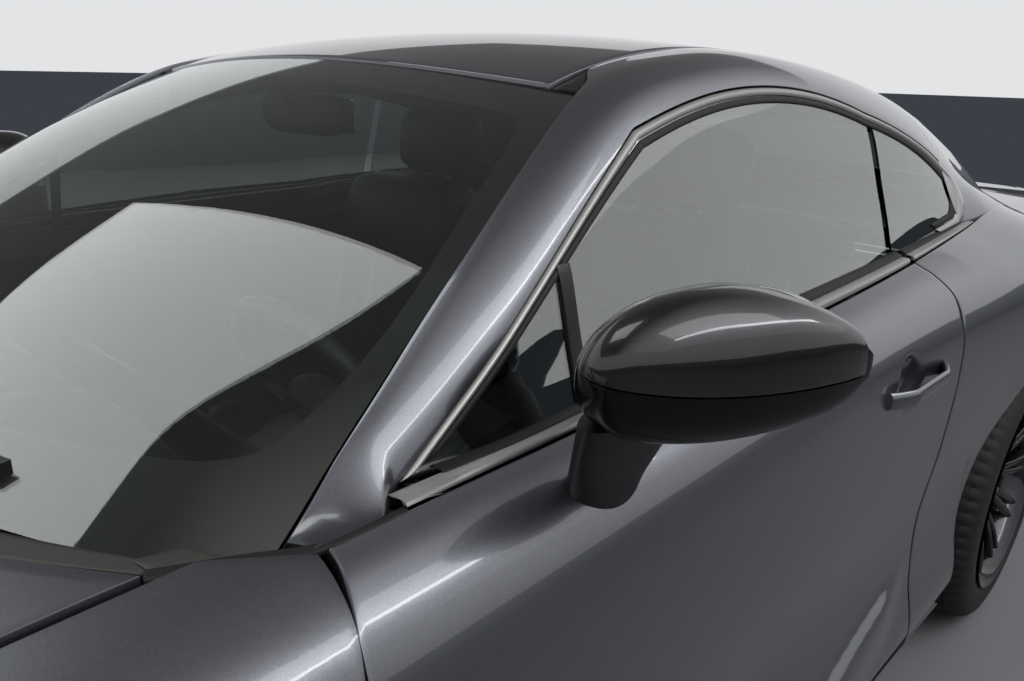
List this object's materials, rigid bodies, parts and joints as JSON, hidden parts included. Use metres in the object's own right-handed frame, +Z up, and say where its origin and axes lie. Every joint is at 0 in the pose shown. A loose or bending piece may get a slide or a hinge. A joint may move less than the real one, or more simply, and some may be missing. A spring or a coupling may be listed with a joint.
{
  "type": "fastback coupe car",
  "caption": "Two-door fastback coupe with opening doors, hood and trunk, steered front wheels and a furnished cabin.",
  "frame": {"origin": "on the ground, half way along the car, on its centre line", "axes": "+X forward to the nose, +Y to the car's left, +Z up"},
  "size_m": [4.8048, 2.072, 1.3624],
  "materials": {
    "paint": "metallic grey lacquer with a clear coat",
    "underbody": "matt primed steel",
    "glass": "lightly tinted safety glass",
    "gloss_black": "gloss black moulding",
    "black_trim": "grained black plastic",
    "lamp_glass": "clear polycarbonate lens",
    "lamp_red": "red lens",
    "cabin_trim": "soft grained trim",
    "seat_leather": "black leather with sewn seams",
    "wheel_leather": "smooth wrapped leather",
    "rim_metal": "dark machined alloy",
    "tyre": "moulded rubber",
    "cast_metal": "cast metal",
    "steel": "drawn stainless steel",
    "chassis_metal": "black coated steel"
  },
  "bodies": {
    "shell": {"body_tub": "underbody", "side_sills": "paint", "roof": "paint", "rear_deck": "paint", "side_frames": "paint", "quarter_panels": "paint", "front_fenders": "paint", "front_bumper": "paint", "rear_bumper": "paint", "tail_panel": "paint", "grille": "black_trim", "headlamps": "lamp_glass", "tail_lamps": "lamp_red", "windshield": "glass", "rear_glass": "glass", "quarter_glass": "glass", "cowl": "black_trim", "wipers": "black_trim", "dashboard": "cabin_trim", "console": "cabin_trim", "front_seats": "seat_leather", "rear_seat": "seat_leather", "cabin_mirror": "black_trim", "engine": "cast_metal", "exhaust": "steel", "front_suspension": "chassis_metal", "rear_suspension": "chassis_metal"},
    "hood": {"hood": "paint"},
    "trunk_lid": {"trunk_lid": "paint"},
    "steering_wheel": {"steering_wheel": "wheel_leather"},
    "knuckle_left": {"knuckle_left": "cast_metal"},
    "knuckle_right": {"knuckle_right": "cast_metal"},
    "door_left": {"door_left": "paint", "door_glass_left": "glass", "door_mirror_left": "gloss_black", "door_handle_left": "paint"},
    "door_right": {"door_right": "paint", "door_glass_right": "glass", "door_mirror_right": "gloss_black", "door_handle_right": "paint"},
    "wheel_front_left": {"wheel_front_left": "rim_metal", "tyre_front_left": "tyre"},
    "wheel_rear_left": {"wheel_rear_left": "rim_metal", "tyre_rear_left": "tyre"},
    "wheel_front_right": {"wheel_front_right": "rim_metal", "tyre_front_right": "tyre"},
    "wheel_rear_right": {"wheel_rear_right": "rim_metal", "tyre_rear_right": "tyre"}
  },
  "joints": [
    {"name": "door_left_swing", "type": "hinge", "parent": "shell", "child": "door_left", "pos_m": [0.592, 0.883, 0.545], "axis": [0, 0, -1], "range_deg": [0, 65]},
    {"name": "door_right_swing", "type": "hinge", "parent": "shell", "child": "door_right", "pos_m": [0.592, -0.883, 0.545], "axis": [0, 0, 1], "range_deg": [0, 65]},
    {"name": "hood_lift", "type": "hinge", "parent": "shell", "child": "hood", "pos_m": [0.815, 0, 0.93361], "axis": [0, -1, 0], "range_deg": [0, 50]},
    {"name": "trunk_lift", "type": "hinge", "parent": "shell", "child": "trunk_lid", "pos_m": [-1.716, 0, 0.96842], "axis": [0, 1, 0], "range_deg": [0, 75]},
    {"name": "steer_left", "type": "hinge", "parent": "shell", "child": "knuckle_left", "pos_m": [1.526, 0.735, 0.343], "axis": [0, 0, 1], "range_deg": [-33, 33]},
    {"name": "steer_right", "type": "hinge", "parent": "shell", "child": "knuckle_right", "pos_m": [1.526, -0.735, 0.343], "axis": [0, 0, 1], "range_deg": [-33, 33]},
    {"name": "steering_wheel_turn", "type": "hinge", "parent": "shell", "child": "steering_wheel", "pos_m": [0.352, 0.372, 0.838], "axis": [-0.8988, 0, 0.4384], "range_deg": [-495, 495]},
    {"name": "wheel_front_left_roll", "type": "hinge", "parent": "knuckle_left", "child": "wheel_front_left", "pos_m": [1.526, 0.791, 0.343], "axis": [0, 1, 0], "continuous": true},
    {"name": "wheel_rear_left_roll", "type": "hinge", "parent": "shell", "child": "wheel_rear_left", "pos_m": [-1.225, 0.81, 0.343], "axis": [0, 1, 0], "continuous": true},
    {"name": "wheel_front_right_roll", "type": "hinge", "parent": "knuckle_right", "child": "wheel_front_right", "pos_m": [1.526, -0.791, 0.343], "axis": [0, 1, 0], "continuous": true},
    {"name": "wheel_rear_right_roll", "type": "hinge", "parent": "shell", "child": "wheel_rear_right", "pos_m": [-1.225, -0.81, 0.343], "axis": [0, 1, 0], "continuous": true}
  ],
  "couplings": [
    {"joint": "steer_right", "follows": "steer_left", "ratio": 1},
    {"joint": "steering_wheel_turn", "follows": "steer_left", "ratio": 15}
  ]
}
